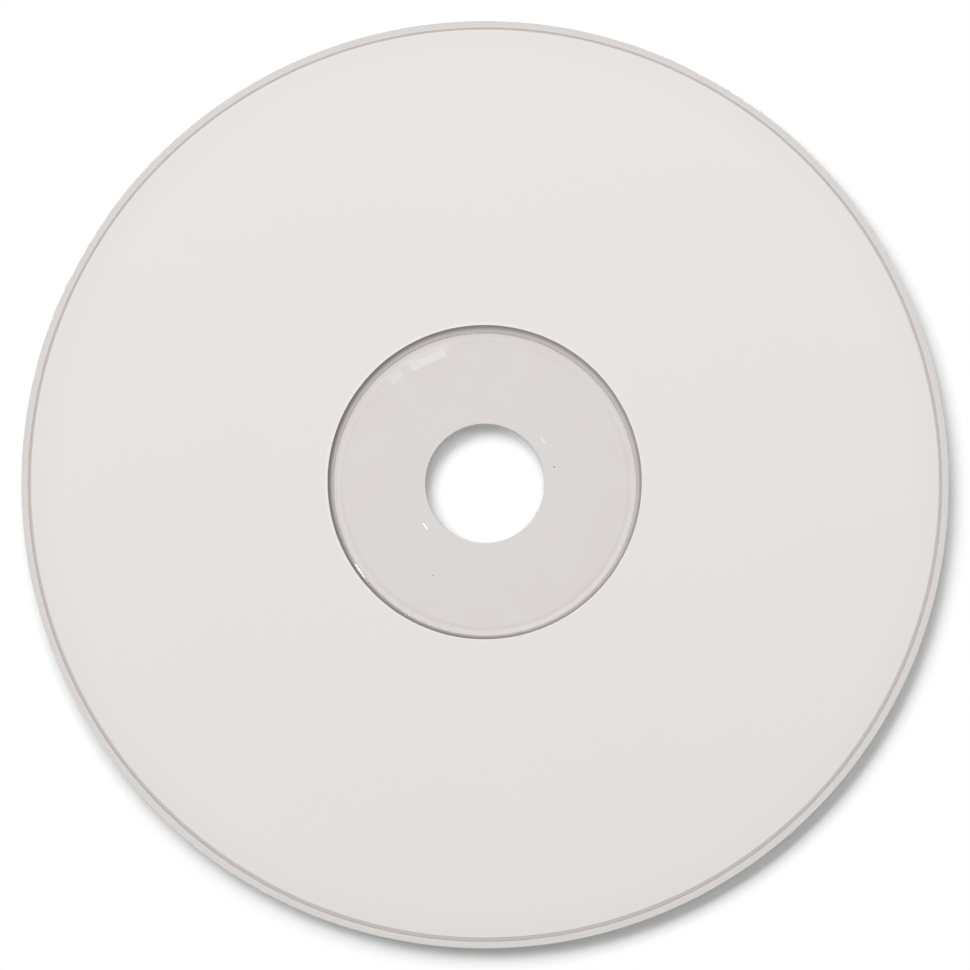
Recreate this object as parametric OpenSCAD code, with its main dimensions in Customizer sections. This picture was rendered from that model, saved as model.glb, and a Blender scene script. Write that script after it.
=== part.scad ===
// Recordable compact disc with a blank white printable face, label side up.
// The clear moulding is one revolved section. The metal film and the print coat lie on its
// label face as two flat rings. All sizes are in millimetres. The origin is on the disc's axis,
// at the height of the surface that the stacking ring rests on.

/* [Moulded disc] */
// Outer diameter
disc_d = 120; // [80:0.5:130]
// Thickness between the two flat faces
disc_t = 1.2; // [1.1:0.05:1.5]
// Rounding of both edges of the rim
rim_round = 0.25; // [0.05:0.05:0.4]

/* [Centre hole] */
// Diameter of the hole, which centres the disc on a spindle
hole_d = 15; // [14:0.1:17]
// Rounding where the hole meets each face
hole_round = 0.25; // [0.05:0.05:0.4]

/* [Hub, label side] */
// Diameter of the shallow recess that the gate insert leaves round the hole
gate_d = 19; // [18:0.1:24]
// Depth of the gate recess
gate_depth = 0.05; // [0.02:0.01:0.12]
// Width of the sloped wall of the gate recess
gate_slope_w = 0.12; // [0.04:0.02:0.3]
// Inside diameter of the groove that the stamper holder leaves
groove_d = 37.2; // [34:0.1:40]
// Depth of the holder groove
groove_depth = 0.12; // [0.05:0.01:0.25]
// Width of the groove's steep inner wall
groove_wall_w = 0.16; // [0.04:0.02:0.3]
// Width of the groove's flat floor
groove_floor_w = 0.16; // [0.04:0.02:0.4]
// Width of the groove's long outer slope
groove_slope_w = 0.48; // [0.1:0.02:0.8]

/* [Hub, readout side] */
// Mid diameter of the stacking ring
stack_ring_d = 38; // [35:0.1:42]
// Width of the stacking ring at its foot
stack_foot_w = 0.44; // [0.2:0.02:1]
// Width of each sloped flank of the stacking ring
stack_flank_w = 0.5; // [0.05:0.01:0.8]
// Height of the stacking ring below the readout face
stack_ring_h = 0.2; // [0.1:0.01:0.4]

/* [Metal film] */
// Thickness of the film with the lacquer that seals it
film_t = 0.02; // [0.01:0.005:0.05]
// Bare moulding between the holder groove and the film
film_hub_gap = 0.13; // [0.05:0.01:1]
// Bare moulding between the film and the rim
film_rim_gap = 0.82; // [0.5:0.01:2]

/* [Print coat] */
// Thickness of the white coat
coat_t = 0.03; // [0.01:0.005:0.06]
// Mean width of film that shows inside the coat
coat_hub_gap = 0.81; // [0.5:0.01:3]
// Mean width of film that shows outside the coat
coat_rim_gap = 0.41; // [0.2:0.01:1]
// How far the coat's outer edge is printed off the disc's axis
coat_rim_shift = 0.12; // [0:0.01:0.15]
// How far the coat's inner edge is printed off the disc's axis
coat_hub_shift = 0.3; // [0:0.01:0.4]

/* [Hidden] */
$fn = 360;

disc_r = disc_d / 2;
hole_r = hole_d / 2;
gate_r = gate_d / 2;

// The readout face hangs clear of the table by the height of the stacking ring.
readout_z = stack_ring_h;
label_z = readout_z + disc_t;
film_z = label_z + film_t;

groove_in_r = groove_d / 2;
groove_out_r = groove_in_r + groove_wall_w + groove_floor_w + groove_slope_w;

film_in_r = groove_out_r + film_hub_gap;
film_out_r = disc_r - film_rim_gap;
coat_in_r = film_in_r + coat_hub_gap;
coat_out_r = film_out_r - coat_rim_gap;

// Cutting shapes run this far past the face they cut.
cut_over = 1;

// What a rounding of radius r takes off a corner of the section. The corner is at the origin
// and the section lies up and to the right of it.
module corner_waste(r) {
    difference() {
        translate([-cut_over, -cut_over])
            square(cut_over + r);
        translate([r, r])
            circle(r);
        translate([r, -cut_over])
            square([cut_over, 2 * cut_over + r]);
        translate([-cut_over, r])
            square([2 * cut_over + r, cut_over]);
    }
}

// The four corners of the section: two at the hole and two at the rim.
module edge_waste() {
    translate([hole_r, readout_z])
        corner_waste(hole_round);
    translate([hole_r, label_z - gate_depth])
        mirror([0, 1])
            corner_waste(hole_round);
    translate([disc_r, readout_z])
        mirror([1, 0])
            corner_waste(rim_round);
    translate([disc_r, label_z])
        mirror([1, 0])
            mirror([0, 1])
                corner_waste(rim_round);
}

// Shallow recess round the hole, with a sloped wall at its outer side.
module gate_recess() {
    polygon([
        [hole_r - cut_over, label_z + cut_over],
        [hole_r - cut_over, label_z - gate_depth],
        [gate_r - gate_slope_w, label_z - gate_depth],
        [gate_r, label_z],
        [gate_r, label_z + cut_over]
    ]);
}

// Groove with a steep wall towards the hole and a long slope towards the film.
module holder_groove() {
    floor_in_r = groove_in_r + groove_wall_w;
    floor_out_r = floor_in_r + groove_floor_w;
    polygon([
        [groove_in_r, label_z + cut_over],
        [groove_in_r, label_z],
        [floor_in_r, label_z - groove_depth],
        [floor_out_r, label_z - groove_depth],
        [groove_out_r, label_z],
        [groove_out_r, label_z + cut_over]
    ]);
}

// Raised ring that keeps the readout faces of stacked discs apart.
module stacking_ring() {
    foot_half_w = stack_foot_w / 2;
    root_half_w = foot_half_w + stack_flank_w;
    ring_r = stack_ring_d / 2;
    polygon([
        [ring_r - foot_half_w, 0],
        [ring_r + foot_half_w, 0],
        [ring_r + root_half_w, readout_z],
        [ring_r + root_half_w, readout_z + disc_t / 2],
        [ring_r - root_half_w, readout_z + disc_t / 2],
        [ring_r - root_half_w, readout_z]
    ]);
}

// Half section of the moulding, from the hole to the rim.
module disc_section() {
    difference() {
        union() {
            translate([hole_r, readout_z])
                square([disc_r - hole_r, disc_t]);
            stacking_ring();
        }
        edge_waste();
        gate_recess();
        holder_groove();
    }
}

// Clear polycarbonate moulding.
module substrate() {
    color("gainsboro")
        rotate_extrude()
            disc_section();
}

// Metal film under its lacquer, on the moulding's label face.
module reflective_film() {
    color("silver")
        translate([0, 0, label_z])
            difference() {
                cylinder(h = film_t, r = film_out_r);
                translate([0, 0, -cut_over])
                    cylinder(h = film_t + 2 * cut_over, r = film_in_r);
            }
}

// White printable coat. Its two edges are printed off centre by different amounts.
module print_coat() {
    color("white")
        translate([0, 0, film_z])
            difference() {
                translate([0, coat_rim_shift, 0])
                    cylinder(h = coat_t, r = coat_out_r);
                translate([0, coat_hub_shift, -cut_over])
                    cylinder(h = coat_t + 2 * cut_over, r = coat_in_r);
            }
}

substrate();
reflective_film();
print_coat();
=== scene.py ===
"""Looks of a blank printable compact disc, label side up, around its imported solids.

Three surfaces of revolution stand for the three solids: the clear moulding, the metal film on
its label face, and the white coat printed on the film. Lengths are in metres, and the disc's
axis is the Z axis. A radius is measured from that axis unless a name says otherwise.
"""
import math

import bpy
import numpy as np
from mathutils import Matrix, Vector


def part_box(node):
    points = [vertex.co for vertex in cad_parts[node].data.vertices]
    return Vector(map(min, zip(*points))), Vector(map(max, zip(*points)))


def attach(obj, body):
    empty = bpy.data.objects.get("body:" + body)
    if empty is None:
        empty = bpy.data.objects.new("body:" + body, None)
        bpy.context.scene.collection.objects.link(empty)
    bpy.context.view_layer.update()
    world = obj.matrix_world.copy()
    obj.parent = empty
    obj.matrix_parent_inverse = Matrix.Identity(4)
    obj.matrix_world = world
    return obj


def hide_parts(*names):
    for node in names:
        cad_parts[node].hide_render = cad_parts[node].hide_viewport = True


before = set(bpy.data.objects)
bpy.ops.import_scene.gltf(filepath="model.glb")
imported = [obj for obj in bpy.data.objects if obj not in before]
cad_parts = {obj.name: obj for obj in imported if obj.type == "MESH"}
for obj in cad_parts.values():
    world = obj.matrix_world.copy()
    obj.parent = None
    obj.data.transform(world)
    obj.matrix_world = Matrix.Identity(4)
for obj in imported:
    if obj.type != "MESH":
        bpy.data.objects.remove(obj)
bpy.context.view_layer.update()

MM = 0.001

# Sizes of the moulding's section that no box gives
HOLE_ROUND = 0.25 * MM
RIM_ROUND = 0.25 * MM
GATE_R = 9.5 * MM
GATE_DEPTH = 0.05 * MM
GATE_SLOPE = 0.12 * MM
GROOVE_R = 18.6 * MM
GROOVE_DEPTH = 0.12 * MM
GROOVE_WALL = 0.16 * MM
GROOVE_FLOOR = 0.16 * MM
GROOVE_SLOPE = 0.48 * MM
STACK_R = 19.0 * MM
STACK_FOOT = 0.44 * MM
STACK_FLANK = 0.5 * MM
STACK_HEIGHT = 0.2 * MM

# Each layer is let into the one under it by this much, so that no two faces coincide.
LET_IN = 0.004 * MM
# Steps round the axis of every revolved piece
TURNS = 720
# Steps along each rounded edge
ROUND_STEPS = 8

# Photograph: 970 pixels a side, with this scale and this centre of the disc
PHOTO_SIZE = 970
PIXELS_PER_MM = 7.729
DISC_CENTRE_PX = (484.5, 484.1)
LENS = 400.0
SENSOR = 36.0


def node_points(node):
    """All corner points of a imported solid, as an array of x, y, z."""
    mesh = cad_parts[node].data
    points = np.empty(3 * len(mesh.vertices), np.float32)
    mesh.vertices.foreach_get("co", points)
    return points.reshape(-1, 3).astype(float)


def edge_circle(points, inner):
    """Radius and y of the centre of a flat ring's inner or outer edge.

    The points nearer to that edge than to the other are taken. Their highest and lowest y are
    the circle's ends, so half the difference is the radius and half the sum is the centre.
    """
    radius = np.hypot(points[:, 0], points[:, 1])
    middle = (radius.min() + radius.max()) / 2
    rim = points[(radius < middle) if inner else (radius > middle)]
    high, low = rim[:, 1].max(), rim[:, 1].min()
    return (high - low) / 2, (high + low) / 2


moulding_low, moulding_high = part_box("substrate")
film_low, film_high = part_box("reflective_film")
coat_low, coat_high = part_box("print_coat")
DISC_R = moulding_high.x
HOLE_R = float(np.hypot(*node_points("substrate")[:, :2].T).min())
READOUT_Z = STACK_HEIGHT
LABEL_Z = moulding_high.z
FILM_Z = film_high.z
COAT_Z = coat_high.z
FILM_IN_R, _ = edge_circle(node_points("reflective_film"), True)
FILM_OUT_R, _ = edge_circle(node_points("reflective_film"), False)
COAT_IN_R, COAT_IN_Y = edge_circle(node_points("print_coat"), True)
COAT_OUT_R, COAT_OUT_Y = edge_circle(node_points("print_coat"), False)


# Section drawing. A section is a list of strokes, each an array of r, z and of outward normals.


def stroke(start, end, steps=1):
    """Straight stroke from start to end, cut into steps.

    Points are start plus t times (end - start). The normal is the stroke's direction turned a
    quarter turn clockwise, so a section drawn anticlockwise has its normals outside.
    """
    t = np.linspace(0, 1, steps + 1)[:, None]
    start, end = np.array(start, float), np.array(end, float)
    points = start + t * (end - start)
    along = (end - start) / np.linalg.norm(end - start)
    normals = np.tile([along[1], -along[0]], (steps + 1, 1))
    return points, normals


def fillet(centre, radius, from_deg, steps=ROUND_STEPS, as_face=None):
    """Quarter round about centre, anticlockwise from from_deg.

    Points are centre plus radius times (cos a, sin a), and the normals are (cos a, sin a).
    as_face gives all of it the normal of the flat face that it ends, so that clear plastic
    doesn't bend the view there.
    """
    a = np.radians(np.linspace(from_deg, from_deg + 90, steps + 1))
    normals = np.column_stack([np.cos(a), np.sin(a)])
    points = np.array(centre) + radius * normals
    if as_face:
        normals = np.tile(as_face, (steps + 1, 1))
    return points, normals


def path(*corners):
    """Straight strokes through the corners, in turn."""
    return [stroke(a, b) for a, b in zip(corners[:-1], corners[1:])]


def revolve(name, strokes, shift=None, wander=None, turns=TURNS):
    """Closed surface of revolution of a closed section about the Z axis.

    A section point (r, z) gives the circle x = r cos a, y = shift + r sin a, at height z, for a
    from 0 to a full turn. shift moves each circle along y, as a function of r. wander adds a
    small radius that depends on a and r. Each face corner keeps its stroke's own normal, so
    rounds are smooth and corners stay crisp.
    """
    rz = np.vstack([points[:-1] for points, _ in strokes])
    first = np.vstack([normals[:-1] for _, normals in strokes])
    last = np.vstack([normals[1:] for _, normals in strokes])
    count = len(rz)
    a = np.linspace(0, 2 * math.pi, turns, endpoint=False)
    angle, r = np.meshgrid(a, rz[:, 0], indexing="ij")
    z = np.broadcast_to(rz[:, 1], r.shape)
    grown = r if wander is None else r + wander(angle, r)
    lift = 0.0 if shift is None else shift(r)
    xyz = np.stack([grown * np.cos(angle), grown * np.sin(angle) + lift, z], axis=-1)

    i, j = np.meshgrid(np.arange(turns), np.arange(count), indexing="ij")
    i2, j2 = (i + 1) % turns, (j + 1) % count
    quads = np.stack([i * count + j, i2 * count + j, i2 * count + j2, i * count + j2], axis=-1)
    quads = quads.reshape(-1, 4)

    def turned(normals, about):
        return np.stack([
            normals[None, :, 0] * np.cos(about)[:, None],
            normals[None, :, 0] * np.sin(about)[:, None],
            np.broadcast_to(normals[None, :, 1], (turns, count)),
        ], axis=-1)

    following = np.roll(a, -1)
    corners = np.stack([
        turned(first, a), turned(first, following), turned(last, following), turned(last, a),
    ], axis=2).reshape(-1, 3)

    mesh = bpy.data.meshes.new(name)
    mesh.from_pydata(xyz.reshape(-1, 3).tolist(), [], quads.tolist())
    mesh.shade_smooth()
    mesh.normals_split_custom_set(corners.tolist())
    piece = bpy.data.objects.new(name, mesh)
    bpy.context.scene.collection.objects.link(piece)
    return piece


def paint_faces(piece, materials, choose):
    """Gives piece its materials. choose maps face centres (r, z) to material numbers."""
    for material in materials:
        piece.data.materials.append(material)
    faces = piece.data.polygons
    centres = np.empty(3 * len(faces), np.float32)
    faces.foreach_get("center", centres)
    x, y, z = centres.reshape(-1, 3).T
    faces.foreach_set("material_index", choose(np.hypot(x, y), z).astype(np.int32))


# Pieces


def moulding_section():
    """Section of the moulding, anticlockwise from the readout side of the hole."""
    gate_z = LABEL_Z - GATE_DEPTH
    groove_z = LABEL_Z - GROOVE_DEPTH
    floor_r = GROOVE_R + GROOVE_WALL
    slope_r = floor_r + GROOVE_FLOOR
    foot_in, foot_out = STACK_R - STACK_FOOT / 2, STACK_R + STACK_FOOT / 2
    return [
        fillet((HOLE_R + HOLE_ROUND, READOUT_Z + HOLE_ROUND), HOLE_ROUND, 180, as_face=(0, -1)),
        *path(
            (HOLE_R + HOLE_ROUND, READOUT_Z),
            (foot_in - STACK_FLANK, READOUT_Z),
            (foot_in, 0),
            (foot_out, 0),
            (foot_out + STACK_FLANK, READOUT_Z),
            (DISC_R - RIM_ROUND, READOUT_Z),
        ),
        fillet((DISC_R - RIM_ROUND, READOUT_Z + RIM_ROUND), RIM_ROUND, 270),
        stroke((DISC_R, READOUT_Z + RIM_ROUND), (DISC_R, LABEL_Z - RIM_ROUND)),
        fillet((DISC_R - RIM_ROUND, LABEL_Z - RIM_ROUND), RIM_ROUND, 0),
        *path(
            (DISC_R - RIM_ROUND, LABEL_Z),
            (slope_r + GROOVE_SLOPE, LABEL_Z),
            (slope_r, groove_z),
            (floor_r, groove_z),
            (GROOVE_R, LABEL_Z),
            (GATE_R, LABEL_Z),
            (GATE_R - GATE_SLOPE, gate_z),
            (HOLE_R + HOLE_ROUND, gate_z),
        ),
        fillet((HOLE_R + HOLE_ROUND, gate_z - HOLE_ROUND), HOLE_ROUND, 90, as_face=(0, 1)),
        stroke((HOLE_R, gate_z - HOLE_ROUND), (HOLE_R, READOUT_Z + HOLE_ROUND)),
    ]


def film_section():
    """Section of the flat film, let into the moulding's label face."""
    low = LABEL_Z - LET_IN
    return path(
        (FILM_IN_R, low),
        (FILM_OUT_R, low),
        (FILM_OUT_R, FILM_Z),
        (FILM_IN_R, FILM_Z),
        (FILM_IN_R, low),
    )


COAT_FEATHER = 0.04 * MM


def coat_section():
    """Section of the coat, with a feathered slope at both edges, let into the film."""
    low = FILM_Z - LET_IN
    return path(
        (COAT_IN_R, low),
        (COAT_OUT_R, low),
        (COAT_OUT_R - COAT_FEATHER, COAT_Z),
        (COAT_IN_R + COAT_FEATHER, COAT_Z),
        (COAT_IN_R, low),
    )


def coat_shift(r):
    """Off-centre shift of the coat: its hub edge's at that edge, its rim edge's at the rim."""
    share = np.clip((r - COAT_IN_R) / (COAT_OUT_R - COAT_IN_R), 0, 1)
    return COAT_IN_Y + share * (COAT_OUT_Y - COAT_IN_Y)


def print_wander(angle, r):
    """Slight unevenness of the printed edges.

    It is a sum of sines of the angle, 0.01 mm high, and one wave round each edge: the hub edge
    leans 0.04 mm towards -X, and the rim edge 0.05 mm towards the lower right.
    """
    high = 0.004 * MM
    waves = np.sin(7 * angle + 1.1) + np.sin(17 * angle + 0.4) + 0.6 * np.sin(41 * angle + 2.3)
    at_rim = np.clip((r - COAT_IN_R) / (COAT_OUT_R - COAT_IN_R), 0, 1)
    hub_lean = -0.04 * MM * np.cos(angle)
    rim_lean = 0.02 * MM * np.cos(angle) - 0.04 * MM * np.sin(angle) - 0.02 * MM
    return high * waves + (1 - at_rim) * hub_lean + at_rim * rim_lean


# Node tools


def put(tree, kind, inputs=None, **settings):
    """Adds a node, sets it up and fills its inputs with values or links."""
    made = tree.nodes.new(kind)
    for name, value in settings.items():
        setattr(made, name, value)
    for key, value in (inputs or {}).items():
        if isinstance(value, bpy.types.NodeSocket):
            tree.links.new(value, made.inputs[key])
        else:
            made.inputs[key].default_value = value
    return made


def calc(tree, operation, *values, clamp=False):
    """Math node's result for up to three values or sockets."""
    made = put(tree, "ShaderNodeMath", dict(enumerate(values)), operation=operation)
    made.use_clamp = clamp
    return made.outputs[0]


def vector(tree, operation, *values):
    """Vector Math node's vector result for vectors or sockets."""
    inputs = dict(enumerate(values))
    return put(tree, "ShaderNodeVectorMath", inputs, operation=operation).outputs[0]


def remap(tree, value, low, high, to_low, to_high, smooth=True):
    """value from low..high to to_low..to_high, held at both ends."""
    made = put(tree, "ShaderNodeMapRange", {
        "Value": value, "From Min": low, "From Max": high, "To Min": to_low, "To Max": to_high,
    }, interpolation_type="SMOOTHSTEP" if smooth else "LINEAR")
    return made.outputs[0]


def blend(tree, share, first, second, how="MIX"):
    """Colour first mixed with second by share."""
    made = put(tree, "ShaderNodeMix", data_type="RGBA", blend_type=how)
    for key, value in ((0, share), (6, first), (7, second)):
        if isinstance(value, bpy.types.NodeSocket):
            tree.links.new(value, made.inputs[key])
        else:
            made.inputs[key].default_value = value
    return made.outputs[2]


def group(name, inputs, outputs):
    """Empty shader node group with named inputs (name, kind, value) and outputs (name, kind)."""
    tree = bpy.data.node_groups.new(name, "ShaderNodeTree")
    for label, kind, value in inputs:
        made = tree.interface.new_socket(label, in_out="INPUT", socket_type=kind)
        if value is not None:
            made.default_value = value
    for label, kind in outputs:
        tree.interface.new_socket(label, in_out="OUTPUT", socket_type=kind)
    return tree, tree.nodes.new("NodeGroupInput").outputs, tree.nodes.new("NodeGroupOutput")


def use(tree, made_group, **inputs):
    """Places a node group and fills its inputs."""
    made = put(tree, "ShaderNodeGroup", node_tree=made_group)
    for key, value in inputs.items():
        socket = made.inputs[key.replace("_", " ")]
        if isinstance(value, bpy.types.NodeSocket):
            tree.links.new(value, socket)
        else:
            socket.default_value = value
    return made


def material(name):
    """New material with an empty node tree and its output node."""
    made = bpy.data.materials.new(name)
    made.use_nodes = True
    made.node_tree.nodes.clear()
    return made, made.node_tree, made.node_tree.nodes.new("ShaderNodeOutputMaterial")


def grey(value, alpha=1.0):
    return (value, value, value, alpha)


def tone(red, green, blue):
    """Linear colour of an 8-bit screen colour."""
    scaled = np.array([red, green, blue]) / 255
    linear = np.where(scaled <= 0.04045, scaled / 12.92, ((scaled + 0.055) / 1.055) ** 2.4)
    return (*linear.tolist(), 1.0)


# Node groups


def make_polar():
    """Radius, turn and outward direction of a point, about an axis at a given y.

    Radius is the length of (x, y - centre) in metres, Turn runs from 0 to 1 anticlockwise from
    +X, and Outward is that vector at length 1.
    """
    tree, given, out = group(
        "polar", [("Centre Y", "NodeSocketFloat", 0.0)],
        [("Radius", "NodeSocketFloat"), ("Turn", "NodeSocketFloat"),
         ("Outward", "NodeSocketVector")])
    place = put(tree, "ShaderNodeTexCoord").outputs["Object"]
    xyz = put(tree, "ShaderNodeSeparateXYZ", {0: place}).outputs
    y = calc(tree, "SUBTRACT", xyz[1], given["Centre Y"])
    flat = put(tree, "ShaderNodeCombineXYZ", {0: xyz[0], 1: y}).outputs[0]
    radius = put(tree, "ShaderNodeVectorMath", {0: flat}, operation="LENGTH").outputs["Value"]
    turn = calc(tree, "FRACT", calc(tree, "DIVIDE", calc(tree, "ARCTAN2", y, xyz[0]), 2 * math.pi))
    tree.links.new(radius, out.inputs["Radius"])
    tree.links.new(turn, out.inputs["Turn"])
    tree.links.new(vector(tree, "NORMALIZE", flat), out.inputs["Outward"])
    return tree


def make_window():
    """Mask that is 1 between two values and falls to 0 over Soft at each side."""
    tree, given, out = group(
        "window",
        [("Value", "NodeSocketFloat", 0.0), ("Low", "NodeSocketFloat", 0.0),
         ("High", "NodeSocketFloat", 1.0), ("Soft", "NodeSocketFloat", 0.1)],
        [("Mask", "NodeSocketFloat")])
    below = calc(tree, "SUBTRACT", given["Low"], given["Soft"])
    above = calc(tree, "ADD", given["High"], given["Soft"])
    rise = remap(tree, given["Value"], below, given["Low"], 0.0, 1.0)
    fall = remap(tree, given["Value"], given["High"], above, 1.0, 0.0)
    tree.links.new(calc(tree, "MULTIPLY", rise, fall), out.inputs["Mask"])
    return tree


def make_grain():
    """Cloudy variation and fine grain of a finish.

    Tint is 1 plus both noises, each scaled by its amount, and Height is the fine noise.
    """
    tree, given, out = group(
        "grain",
        [("Cloud Scale", "NodeSocketFloat", 100.0), ("Cloud", "NodeSocketFloat", 0.01),
         ("Grain Scale", "NodeSocketFloat", 9000.0), ("Grain", "NodeSocketFloat", 0.01)],
        [("Tint", "NodeSocketFloat"), ("Height", "NodeSocketFloat")])
    place = put(tree, "ShaderNodeTexCoord").outputs["Object"]
    cloud = put(tree, "ShaderNodeTexNoise", {
        "Vector": place, "Scale": given["Cloud Scale"], "Detail": 3.0, "Roughness": 0.5})
    fine = put(tree, "ShaderNodeTexNoise", {
        "Vector": place, "Scale": given["Grain Scale"], "Detail": 2.0, "Roughness": 0.6})
    broad = calc(tree, "MULTIPLY", calc(tree, "SUBTRACT", cloud.outputs[0], 0.5), given["Cloud"])
    close = calc(tree, "MULTIPLY", calc(tree, "SUBTRACT", fine.outputs[0], 0.5), given["Grain"])
    both = calc(tree, "ADD", calc(tree, "ADD", broad, close), 1.0)
    tree.links.new(both, out.inputs["Tint"])
    tree.links.new(fine.outputs[0], out.inputs["Height"])
    return tree


def make_tilt():
    """Surface normal leant outwards: the normal plus Lean times the outward direction."""
    tree, given, out = group(
        "tilt", [("Lean", "NodeSocketFloat", 0.0)], [("Normal", "NodeSocketVector")])
    outward = use(tree, POLAR).outputs["Outward"]
    normal = put(tree, "ShaderNodeNewGeometry").outputs["Normal"]
    step = put(tree, "ShaderNodeVectorMath", {0: outward, "Scale": given["Lean"]},
               operation="SCALE").outputs[0]
    leant = vector(tree, "NORMALIZE", vector(tree, "ADD", normal, step))
    tree.links.new(leant, out.inputs["Normal"])
    return tree


POLAR = make_polar()
WINDOW = make_window()
GRAIN = make_grain()
TILT = make_tilt()


# Finishes

WHITE_COAT = tone(242, 237.8, 234.4)
FILM_TOP = tone(220, 212, 208.5)
CLEAR_TINT = tone(224.5, 220, 217)
# Colour of the hole's clear rounded edge, also used for a painted glint on the gate ring.
CLEAR_EDGE_AND_GLINT = tone(253, 253, 253)
PINK_TINT = tone(224.5, 217, 215)
CODE_FIELD = tone(234, 231, 227)
SPECK = tone(90, 90, 85)
GROOVE_SHADE = (0.94, 0.92, 0.92, 1)
EDGE_TINT = tone(222, 221, 219)

# The rounded edge of the hole is clearer than the hub. The clear zone lies a little off centre.
CLEAR_EDGE_R = HOLE_R + 0.8 * HOLE_ROUND
CLEAR_EDGE_Y = 0.14 * MM


def tinted(tree, colour, tint):
    """Colour, given as numbers, times a grain's tint."""
    return put(tree, "ShaderNodeVectorMath", {0: colour[:3], "Scale": tint},
               operation="SCALE").outputs[0]


def patch_mask(tree, azimuth, distance, half_length, half_width, soft):
    """Soft-edged rectangle centred at an azimuth and a distance, with its length tangential."""
    a = math.radians(azimuth)
    place = put(tree, "ShaderNodeTexCoord").outputs["Object"]
    sides = (((math.cos(a), math.sin(a), 0), distance, half_width),
             ((-math.sin(a), math.cos(a), 0), 0.0, half_length))
    masks = []
    for axis, centre, half in sides:
        along = put(tree, "ShaderNodeVectorMath", {0: place, 1: axis},
                    operation="DOT_PRODUCT").outputs["Value"]
        off = calc(tree, "ABSOLUTE", calc(tree, "SUBTRACT", along, centre))
        masks.append(remap(tree, off, half - soft / 2, half + soft / 2, 1.0, 0.0))
    return calc(tree, "MULTIPLY", *masks)


def clear_moulding():
    """Clear polycarbonate, slightly smoky, with faint smears and two blank frosted code fields."""
    made, tree, out = material("clear_moulding")
    grain = use(tree, GRAIN, Cloud_Scale=60.0, Cloud=0.015, Grain_Scale=2500.0, Grain=0.015)
    place = put(tree, "ShaderNodeTexCoord").outputs["Object"]
    smears = put(tree, "ShaderNodeTexNoise", {"Vector": place, "Scale": 180.0, "Detail": 2.0})
    radius = use(tree, POLAR).outputs["Radius"]
    outer = calc(tree, "MULTIPLY", remap(tree, radius, 12 * MM, 18 * MM, 0.3, 1.0),
                 remap(tree, radius, 20 * MM, 30 * MM, 1.0, 0.0))
    pink = calc(tree, "MULTIPLY", outer, remap(tree, smears.outputs[0], 0.42, 0.62, 0.0, 1.0))
    body = tinted(tree, CLEAR_TINT, grain.outputs["Tint"])
    body = blend(tree, pink, body, PINK_TINT)

    large = patch_mask(tree, 114.6, 17.80 * MM, 2.45 * MM, 0.58 * MM, 0.25 * MM)
    small = patch_mask(tree, 129.5, 18.10 * MM, 0.95 * MM, 0.55 * MM, 0.5 * MM)
    haze = patch_mask(tree, 114, 18.35 * MM, 3.2 * MM, 0.4 * MM, 0.7 * MM)
    field = calc(tree, "ADD", large, calc(tree, "MULTIPLY", small, 0.6))
    field = calc(tree, "MAXIMUM", field, calc(tree, "MULTIPLY", haze, 0.5), clamp=True)
    colour = blend(tree, field, body, CODE_FIELD)
    speck = calc(tree, "ADD",
                 patch_mask(tree, 14.4, 9.23 * MM, 0.08 * MM, 0.08 * MM, 0.1 * MM),
                 patch_mask(tree, 240.0, 13.60 * MM, 0.06 * MM, 0.06 * MM, 0.1 * MM), clamp=True)
    colour = blend(tree, speck, colour, SPECK)
    # Painted glint: a pale dot on the gate ring beside the dark speck.
    painted_glint = patch_mask(tree, 15.3, 9.42 * MM, 0.07 * MM, 0.07 * MM, 0.1 * MM)
    colour = blend(tree, painted_glint, colour, CLEAR_EDGE_AND_GLINT)

    hub = use(tree, POLAR, Centre_Y=CLEAR_EDGE_Y).outputs["Radius"]
    edge = remap(tree, hub, CLEAR_EDGE_R - 0.05 * MM, CLEAR_EDGE_R + 0.05 * MM, 1.0, 0.0)
    colour = blend(tree, edge, colour, CLEAR_EDGE_AND_GLINT)

    groove = use(tree, WINDOW, Value=radius, Low=GROOVE_R, High=FILM_IN_R,
                 Soft=0.1 * MM).outputs[0]
    # Painted shade in the groove: its inner wall is darker on the side away from the key lamp, and
    # its outer slope is darker on the side towards it.
    shade = use(tree, WINDOW, Value=radius, Low=GROOVE_R, High=GROOVE_R + 0.4 * MM,
                Soft=0.15 * MM).outputs[0]
    to_key = put(tree, "ShaderNodeVectorMath", {0: place, 1: aim(110, 0).tolist()},
                 operation="DOT_PRODUCT").outputs["Value"]
    shade = calc(tree, "MULTIPLY", shade, remap(tree, to_key, -STACK_R, STACK_R, 1.2, 0.2))
    slope = use(tree, WINDOW, Value=radius, Low=GROOVE_R + 0.25 * MM, High=FILM_IN_R,
                Soft=0.15 * MM).outputs[0]
    slope = calc(tree, "MULTIPLY", slope, remap(tree, to_key, -STACK_R, STACK_R, 0.0, 0.7))
    shade = calc(tree, "MAXIMUM", shade, slope, clamp=True)
    colour = blend(tree, shade, colour, GROOVE_SHADE, "MULTIPLY")
    rim = calc(tree, "GREATER_THAN", radius, DISC_R - RIM_ROUND)
    rough = calc(tree, "ADD", calc(tree, "MULTIPLY", field, 0.2),
                 calc(tree, "MULTIPLY", groove, 0.06))
    rough = calc(tree, "ADD", rough, calc(tree, "MULTIPLY", rim, 0.3))
    shader = put(tree, "ShaderNodeBsdfPrincipled", {
        "Base Color": colour, "Roughness": calc(tree, "ADD", rough, 0.02), "IOR": 1.58,
        "Transmission Weight": 1.0})
    tree.links.new(shader.outputs[0], out.inputs["Surface"])
    return made


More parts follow.
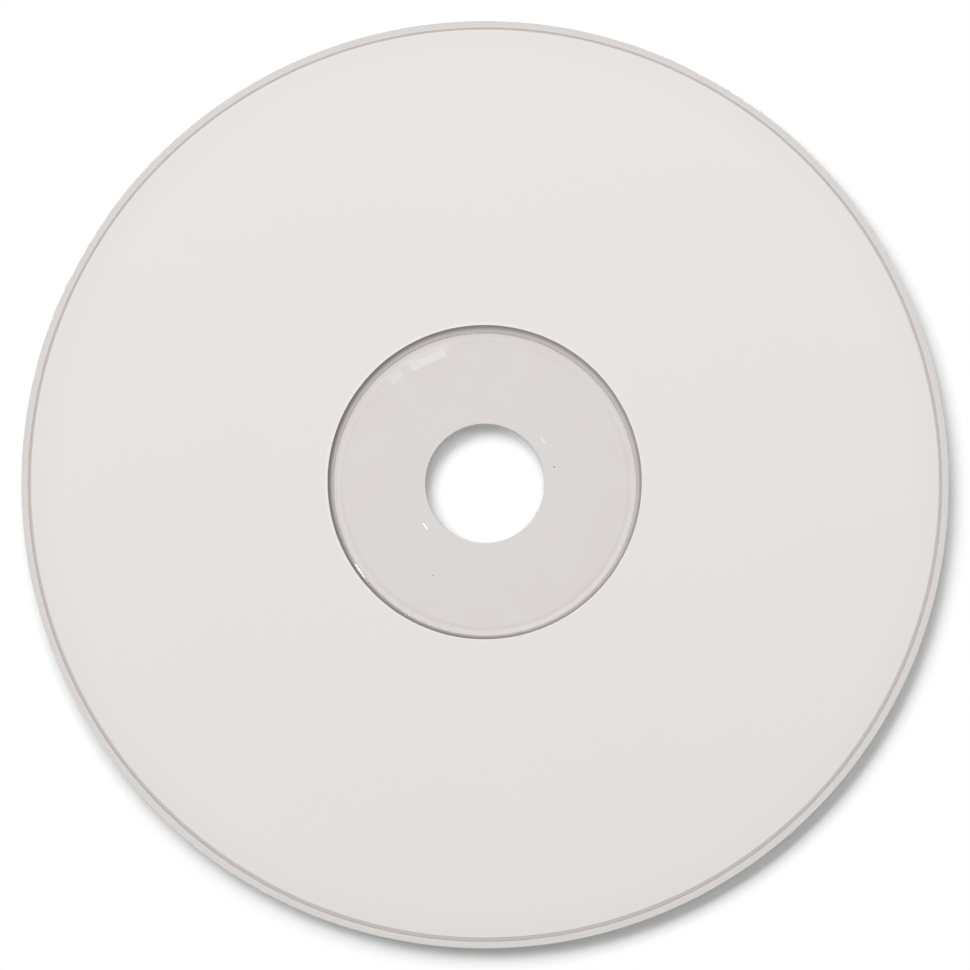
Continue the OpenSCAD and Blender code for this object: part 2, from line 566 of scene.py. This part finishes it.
def moulded_edge():
    """The moulding's upright wall at the rim, faintly frosted and milky."""
    made, tree, out = material("moulded_edge")
    grain = use(tree, GRAIN, Cloud_Scale=90.0, Cloud=0.05, Grain_Scale=3000.0, Grain=0.05)
    shader = put(tree, "ShaderNodeBsdfPrincipled", {
        "Base Color": tinted(tree, EDGE_TINT, grain.outputs["Tint"]), "Roughness": 0.35,
        "IOR": 1.58, "Transmission Weight": 0.55})
    tree.links.new(shader.outputs[0], out.inputs["Surface"])
    return made


def film_cover(tree):
    """Cover of the film: 1, and 0 at both edges, where it thins out raggedly over some 0.3 mm.

    A noise moves the edges by up to 0.04 mm.
    """
    place = put(tree, "ShaderNodeTexCoord").outputs["Object"]
    rag = put(tree, "ShaderNodeTexNoise", {"Vector": place, "Scale": 500.0, "Detail": 3.0})
    moved = calc(tree, "MULTIPLY", calc(tree, "SUBTRACT", rag.outputs[0], 0.5), 0.16 * MM)
    radius = calc(tree, "ADD", use(tree, POLAR).outputs["Radius"], moved)
    inside = remap(tree, radius, FILM_IN_R - 0.10 * MM, FILM_IN_R + 0.26 * MM, 0.0, 1.0)
    outside = remap(tree, radius, FILM_OUT_R - 0.28 * MM, FILM_OUT_R + 0.08 * MM, 1.0, 0.0)
    return calc(tree, "MULTIPLY", inside, outside)


def film_label_side():
    """Lacquered back of the metal film.

    Beside the print's hub edge the lacquer is darkened by painted shade, and it slopes towards
    the hub. The painted shade grows with the share of the way gone from its start to the print's
    edge, and it is deepest at the lower left. The film's own edge is a narrow bright bead.
    """
    made, tree, out = material("film_label_side")
    grain = use(tree, GRAIN, Cloud_Scale=150.0, Cloud=0.04, Grain_Scale=4000.0, Grain=0.03)
    radius = use(tree, POLAR).outputs["Radius"]
    from_print = use(tree, POLAR, Centre_Y=COAT_IN_Y).outputs["Radius"]
    # Painted shade: a darker band beside the print's hub edge, deepest at the lower left.
    from_shade_start = use(tree, POLAR, Centre_Y=COAT_IN_Y - 0.07 * MM).outputs["Radius"]
    hub_side = calc(tree, "LESS_THAN", radius, 30 * MM)
    gone = calc(tree, "SUBTRACT", from_shade_start, COAT_IN_R - 0.68 * MM)
    left = calc(tree, "SUBTRACT", COAT_IN_R - 0.11 * MM, from_print)
    way = calc(tree, "DIVIDE", gone, calc(tree, "ADD", gone, left))
    shade_and_slope_zone = calc(tree, "MULTIPLY", hub_side, remap(tree, way, 0.0, 1.0, 0.0, 1.0))
    place = put(tree, "ShaderNodeTexCoord").outputs["Object"]
    lower_left = put(tree, "ShaderNodeVectorMath", {0: place, 1: aim(215, 0).tolist()},
                     operation="DOT_PRODUCT").outputs["Value"]
    depth = remap(tree, lower_left, -20 * MM, 20 * MM, 0.47, 0.68, smooth=False)
    # The painted shade is taken off the grain's tint here.
    grain_tone_and_painted_shade = calc(tree, "SUBTRACT", grain.outputs["Tint"], calc(tree, "MULTIPLY", shade_and_slope_zone, depth))
    at_rim = calc(tree, "MULTIPLY", calc(tree, "SUBTRACT", 1.0, hub_side), 0.015)
    grain_tone_and_painted_shade = calc(tree, "SUBTRACT", grain_tone_and_painted_shade, at_rim)
    lean = calc(tree, "MULTIPLY", calc(tree, "ADD", calc(tree, "MULTIPLY", shade_and_slope_zone, 0.10), 0.15),
                calc(tree, "MULTIPLY", hub_side, -1.0))
    bead = use(tree, WINDOW, Value=radius, Low=FILM_IN_R + 0.10 * MM, High=FILM_IN_R + 0.18 * MM,
               Soft=0.08 * MM).outputs[0]
    shader = put(tree, "ShaderNodeBsdfPrincipled", {
        "Base Color": tinted(tree, FILM_TOP, grain_tone_and_painted_shade), "Metallic": 0.3, "Roughness": 0.45,
        "Normal": use(tree, TILT, Lean=lean).outputs[0],
        "Coat Weight": bead, "Coat Roughness": 0.06, "Coat IOR": 1.8,
        "Coat Normal": use(tree, TILT, Lean=-0.32).outputs[0],
        "Alpha": film_cover(tree)})
    tree.links.new(shader.outputs[0], out.inputs["Surface"])
    return made


# First-order colours of a 1.6 micrometre track pitch: wavelength in nanometres and its colour
PITCH_NM = 1600.0
SPECTRUM = (
    (440, (0.25, 0.12, 1.0, 1)),
    (480, (0.05, 0.45, 1.0, 1)),
    (520, (0.05, 1.0, 0.35, 1)),
    (560, (0.55, 1.0, 0.05, 1)),
    (600, (1.0, 0.55, 0.03, 1)),
    (640, (1.0, 0.10, 0.05, 1)),
)
MOULDING_IOR = 1.58


def film_readout_side():
    """Mirror with spiral tracks, seen through the moulding.

    A track pitch d turns light of wavelength w by the angle whose sine is w / (n d) inside the
    moulding. A mirror leant outwards or inwards by half that angle does the same, so each
    colour is a glossy shader with its normal leant both ways.
    """
    made, tree, out = material("film_readout_side")
    polar = use(tree, POLAR).outputs
    dyed = use(tree, WINDOW, Value=polar["Radius"], Low=FILM_IN_R + 1.3 * MM,
               High=FILM_OUT_R - 0.6 * MM, Soft=0.1 * MM).outputs[0]
    bare = (0.78, 0.78, 0.77, 1)
    dye = (0.62, 0.70, 0.68, 1)
    shown = put(tree, "ShaderNodeBsdfPrincipled", {
        "Base Color": blend(tree, dyed, bare, dye), "Metallic": 1.0, "Roughness": 0.08}).outputs[0]
    share = 0.6 / (2 * len(SPECTRUM))
    for count, (wave, colour) in enumerate(SPECTRUM):
        lean = math.tan(math.asin(wave / PITCH_NM / MOULDING_IOR) / 2)
        for way, side in enumerate((-1, 1)):
            lobe = put(tree, "ShaderNodeBsdfAnisotropic", {
                "Color": colour, "Roughness": 0.12,
                "Normal": use(tree, TILT, Lean=side * lean).outputs[0]})
            taken = 0.4 + share * (2 * count + way)
            shown = put(tree, "ShaderNodeMixShader", {
                0: share / (taken + share), 1: shown, 2: lobe.outputs[0]}).outputs[0]
    clear = put(tree, "ShaderNodeBsdfTransparent").outputs[0]
    cover = put(tree, "ShaderNodeMixShader", {0: film_cover(tree), 1: clear, 2: shown}).outputs[0]
    tree.links.new(cover, out.inputs["Surface"])
    return made


def white_coat():
    """Matte, finely porous white coat, with a faint painted highlight along its hub edge."""
    made, tree, out = material("white_coat")
    grain = use(tree, GRAIN, Cloud_Scale=45.0, Cloud=0.012, Grain_Scale=7000.0, Grain=0.03)
    hub = use(tree, POLAR, Centre_Y=COAT_IN_Y).outputs["Radius"]
    place = put(tree, "ShaderNodeTexCoord").outputs["Object"]
    to_key = put(tree, "ShaderNodeVectorMath", {0: place, 1: aim(140, 0).tolist()},
                 operation="DOT_PRODUCT").outputs["Value"]
    # Painted highlight: the coat is lighter along its hub edge, strongest on the key lamp's side.
    most = remap(tree, to_key, -COAT_IN_R, COAT_IN_R, 0.01, 0.11)
    edge_highlight = calc(tree, "MULTIPLY", most, remap(
        tree, hub, COAT_IN_R + COAT_FEATHER, COAT_IN_R + 0.55 * MM, 1.0, 0.0))
    # The coat is a little darker towards the rim.
    rim_darkening = remap(tree, use(tree, POLAR).outputs["Radius"], 54 * MM, 59 * MM, 0.0, 0.03)
    cover = calc(tree, "SUBTRACT", calc(tree, "ADD", grain.outputs["Tint"], edge_highlight), rim_darkening)
    bump = put(tree, "ShaderNodeBump", {
        "Strength": 0.15, "Distance": 0.01 * MM, "Height": grain.outputs["Height"]})
    shader = put(tree, "ShaderNodeBsdfPrincipled", {
        "Base Color": tinted(tree, WHITE_COAT, cover),
        "Roughness": 0.6, "Specular IOR Level": 0.3, "Normal": bump.outputs[0]})
    tree.links.new(shader.outputs[0], out.inputs["Surface"])
    return made


# Stage


def view_path_share(tree):
    """1 for rays that come from the camera, or from it through clear plastic only."""
    path_of = put(tree, "ShaderNodeLightPath").outputs
    bounced = calc(tree, "ADD", path_of["Diffuse Depth"], path_of["Glossy Depth"])
    straight = calc(tree, "LESS_THAN", bounced, 0.5)
    seen = calc(tree, "ADD", path_of["Is Camera Ray"], path_of["Is Transmission Ray"], clamp=True)
    return calc(tree, "MULTIPLY", straight, seen)


def aim(azimuth, elevation):
    """Unit vector at an azimuth, anticlockwise from +X, and an elevation, in degrees."""
    a, e = math.radians(azimuth), math.radians(elevation)
    return np.array([math.cos(e) * math.cos(a), math.cos(e) * math.sin(a), math.sin(e)])


FLOOR_PAINT = (0.975, 0.98, 0.98, 1)
FLOOR_LIFT = 0.14
# Painted light and shade on the floor in the hole, and painted shade outside the rim on the shadow
# side.
HOLE_PAINTED_LIGHT = 0.05
HOLE_WALL_PAINTED_SHADE = (0.01, -0.045)
HOLE_SIDE_PAINTED_LIGHT = 0.08
SHADE_SHIFT = 1.5 * MM
SHADE_DROP = 0.05
FLOOR_SIDE = 3.0


def floor_finish():
    """White floor that keeps the shadow by the disc, fades to plain white and is open from below.

    Seen through clear plastic it is white, apart from the strip under the hole's edge, with
    painted light: a little brighter towards the upper left, less so towards the bottom and dimmer
    towards the rim. Painted light brightens the shadow in the hole, standing for light that the
    clear hub lets in, and more so by the hole's upper right edge; painted shade darkens it by the
    hole's wall on the key side. Painted shade also darkens the floor just outside the rim on the
    shadow side.
    Light that a mirror has turned passes through the floor, so the readout side shows the
    studio under the disc and not the floor.
    """
    made, tree, out = material("floor_white")
    made.cycles.emission_sampling = "NONE"
    path_of = put(tree, "ShaderNodeLightPath").outputs
    backfacing = put(tree, "ShaderNodeNewGeometry").outputs["Backfacing"]
    paint = put(tree, "ShaderNodeBsdfDiffuse", {"Color": FLOOR_PAINT}).outputs[0]
    radius = use(tree, POLAR).outputs["Radius"]
    place = put(tree, "ShaderNodeTexCoord").outputs["Object"]
    # Painted light in the hole, brighter by its upper right edge and in its middle; painted shade
    # by its wall on the key side.
    to_side = put(tree, "ShaderNodeVectorMath", {0: place, 1: aim(25, 0).tolist()},
                  operation="DOT_PRODUCT").outputs["Value"]
    side = remap(tree, to_side, 0.6 * HOLE_R, HOLE_R, 0.0, HOLE_SIDE_PAINTED_LIGHT, smooth=False)
    to_key = put(tree, "ShaderNodeVectorMath", {0: place, 1: aim(140, 0).tolist()},
                 operation="DOT_PRODUCT").outputs["Value"]
    wall_painted_shade = remap(tree, to_key, 0.3 * HOLE_R, 0.8 * HOLE_R, *HOLE_WALL_PAINTED_SHADE)
    hole_painted_light_and_shade = remap(tree, radius, 6.5 * MM, 7.3 * MM, HOLE_PAINTED_LIGHT, wall_painted_shade)
    hole_painted_light_and_shade = calc(tree, "ADD", hole_painted_light_and_shade, side)
    hole_painted_light_and_shade = calc(tree, "MULTIPLY", calc(tree, "LESS_THAN", radius, FILM_IN_R), hole_painted_light_and_shade)
    # Painted shadow on the floor just outside the rim on the shadow side.
    shaded = put(tree, "ShaderNodeVectorMath", {
        0: place, 1: (aim(KEY_AZIMUTH + 180, 0) * SHADE_SHIFT).tolist()},
        operation="DISTANCE").outputs["Value"]
    rim_painted_shadow = remap(tree, shaded, DISC_R - 0.3 * MM, DISC_R + 0.5 * MM, SHADE_DROP, 0.0)
    rim_painted_shadow = calc(tree, "MULTIPLY", rim_painted_shadow, calc(tree, "GREATER_THAN", radius, FILM_IN_R))
    raised = calc(tree, "SUBTRACT", calc(tree, "ADD", hole_painted_light_and_shade, FLOOR_LIFT), rim_painted_shadow)
    lift = put(tree, "ShaderNodeEmission", {"Color": grey(1.0), "Strength": raised}).outputs[0]
    near = put(tree, "ShaderNodeAddShader", {0: paint, 1: lift}).outputs[0]

    across = put(tree, "ShaderNodeVectorMath", {0: place, 1: aim(116, 0).tolist()},
                 operation="DOT_PRODUCT").outputs["Value"]
    through = calc(tree, "MULTIPLY", path_of["Is Transmission Ray"], view_path_share(tree))
    # Painted light on the floor seen through clear plastic: brighter towards the upper left,
    # dimmer towards the rim.
    slant = remap(tree, across, -DISC_R, DISC_R, 0.97, 1.03, smooth=False)
    rim = remap(tree, radius, 40 * MM, 58 * MM, 0.0, 0.032)
    dimmed = calc(tree, "SUBTRACT", slant, rim)
    strength = blend(tree, through, grey(1.0), dimmed)
    far = put(tree, "ShaderNodeEmission", {"Color": strength, "Strength": 1.0}).outputs[0]
    away = remap(tree, radius, 62.2 * MM, 63.6 * MM, 0.0, 1.0)
    hub = use(tree, POLAR, Centre_Y=CLEAR_EDGE_Y).outputs["Radius"]
    covered = calc(tree, "GREATER_THAN", hub, CLEAR_EDGE_R + 0.05 * MM)
    plain = calc(tree, "MAXIMUM", away, calc(tree, "MULTIPLY", through, covered))
    seen = put(tree, "ShaderNodeMixShader", {0: plain, 1: near, 2: far}).outputs[0]

    turned = calc(tree, "GREATER_THAN", path_of["Glossy Depth"], 0.5)
    opened = calc(tree, "MAXIMUM", backfacing, turned)
    clear = put(tree, "ShaderNodeBsdfTransparent").outputs[0]
    mixed = put(tree, "ShaderNodeMixShader", {0: opened, 1: seen, 2: clear}).outputs[0]
    tree.links.new(mixed, out.inputs["Surface"])
    return made


def build_floor():
    """Square floor at the height of the disc's foot."""
    half = FLOOR_SIDE / 2
    corners = [(-half, -half, 0), (half, -half, 0), (half, half, 0), (-half, half, 0)]
    mesh = bpy.data.meshes.new("floor")
    mesh.from_pydata(corners, [], [(0, 1, 2, 3)])
    mesh.materials.append(floor_finish())
    floor = bpy.data.objects.new("floor", mesh)
    bpy.context.scene.collection.objects.link(floor)


KEY_AZIMUTH = 125
KEY_ELEVATION = 34.3
SKY_FILL = 0.22
ZENITH_TONE = 0.45
NADIR_LIFT = 0.12
HORIZON_TONE = 0.9
SOFTBOX_TONE = 0.5


def build_world():
    """White to the camera, an even fill to matte surfaces, and a soft studio to mirrors.

    The studio is darker overhead, where the camera is, and paler towards the horizon. A broad
    soft glow stands over the key lamp.
    """
    world = bpy.data.worlds.new("studio")
    bpy.context.scene.world = world
    world.use_nodes = True
    world.cycles.sampling_method = "NONE"
    tree = world.node_tree
    tree.nodes.clear()
    out = tree.nodes.new("ShaderNodeOutputWorld")
    direction = put(tree, "ShaderNodeTexCoord").outputs["Generated"]
    upward = put(tree, "ShaderNodeSeparateXYZ", {0: direction}).outputs[2]
    height = calc(tree, "ABSOLUTE", upward)
    sky = remap(tree, height, 0.2, 0.95, HORIZON_TONE, ZENITH_TONE)
    below = calc(tree, "MULTIPLY", calc(tree, "LESS_THAN", upward, 0.0), NADIR_LIFT)
    sky = calc(tree, "ADD", sky, below)
    near_key = put(tree, "ShaderNodeVectorMath", {
        0: direction, 1: aim(KEY_AZIMUTH, KEY_ELEVATION + 20).tolist()},
        operation="DOT_PRODUCT").outputs["Value"]
    studio = calc(tree, "ADD", sky, remap(tree, near_key, 0.86, 1.0, 0.0, SOFTBOX_TONE))
    glossy = put(tree, "ShaderNodeLightPath").outputs["Glossy Depth"]
    turned = calc(tree, "GREATER_THAN", glossy, 0.5)
    dim = blend(tree, turned, grey(SKY_FILL), studio)
    strength = blend(tree, view_path_share(tree), dim, grey(1.0))
    shader = put(tree, "ShaderNodeBackground", {"Color": strength, "Strength": 1.0})
    tree.links.new(shader.outputs[0], out.inputs["Surface"])


def lamp(name, azimuth, elevation, distance, width, height, power):
    """Flat lamp aimed at the origin, wide along the horizon."""
    data = bpy.data.lights.new(name, "AREA")
    data.energy = power
    data.shape = "RECTANGLE"
    data.size = width
    data.size_y = height
    made = bpy.data.objects.new(name, data)
    bpy.context.scene.collection.objects.link(made)
    made.location = aim(azimuth, elevation) * distance
    made.rotation_euler = made.location.to_track_quat("Z", "Y").to_euler()
    made.visible_camera = False
    return made


def build_lamps():
    """Broad soft key from the upper left, a side fill, two lamps for glints, strips below."""
    soft = (
        lamp("key", KEY_AZIMUTH, KEY_ELEVATION, 2.0, 3.0, 0.88, 57.3),
        lamp("side_fill", 40, 50, 0.5, 0.3, 0.3, 0.30),
    )
    for matte_only in soft:
        matte_only.visible_glossy = False
        matte_only.visible_transmission = False
    glints = (
        lamp("glint_right", 35, 53.3, 0.6, 0.04, 0.157, 0.3),
        lamp("glint_left", 217, 45, 0.6, 0.04, 0.04, 0.026),
    )
    for glint in glints:
        glint.visible_diffuse = False
        glint.visible_transmission = False
    lamp("under_strip_a", 60, -62, 0.8, 0.05, 0.5, 3.0)
    lamp("under_strip_b", 150, -50, 0.8, 0.05, 0.5, 3.0)


def build_camera():
    """Camera straight above, framed so that the disc falls where the photograph has it.

    The distance gives PIXELS_PER_MM at the height of the print coat.
    """
    data = bpy.data.cameras.new("camera")
    data.lens = LENS
    data.sensor_width = SENSOR
    data.clip_start = 0.01
    data.clip_end = 20
    camera = bpy.data.objects.new("camera", data)
    bpy.context.scene.collection.objects.link(camera)
    width = PHOTO_SIZE / PIXELS_PER_MM * MM
    middle = (PHOTO_SIZE - 1) / 2
    pixel = MM / PIXELS_PER_MM
    camera.location = (
        (middle - DISC_CENTRE_PX[0]) * pixel,
        (DISC_CENTRE_PX[1] - middle) * pixel,
        COAT_Z + width * LENS / SENSOR,
    )
    bpy.context.scene.camera = camera


def build_disc():
    """The three pieces of the disc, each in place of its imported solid."""
    moulding = revolve("moulding", moulding_section())
    paint_faces(
        moulding, [clear_moulding(), moulded_edge()],
        lambda r, z: r > DISC_R - 0.01 * MM)
    film = revolve("metal_film", film_section())
    middle_z = (LABEL_Z + FILM_Z) / 2
    paint_faces(film, [film_label_side(), film_readout_side()], lambda r, z: z < middle_z)
    coat = revolve("white_print", coat_section(), coat_shift, print_wander)
    coat.data.materials.append(white_coat())
    for piece, node, slot in (
        (moulding, "substrate", "clear_moulding"),
        (film, "reflective_film", "metal_film"),
        (coat, "print_coat", "white_coat"),
    ):
        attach(piece, "root")
        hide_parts(node)


build_disc()
build_floor()
build_world()
build_lamps()
build_camera()
bpy.context.scene.view_settings.view_transform = "Standard"
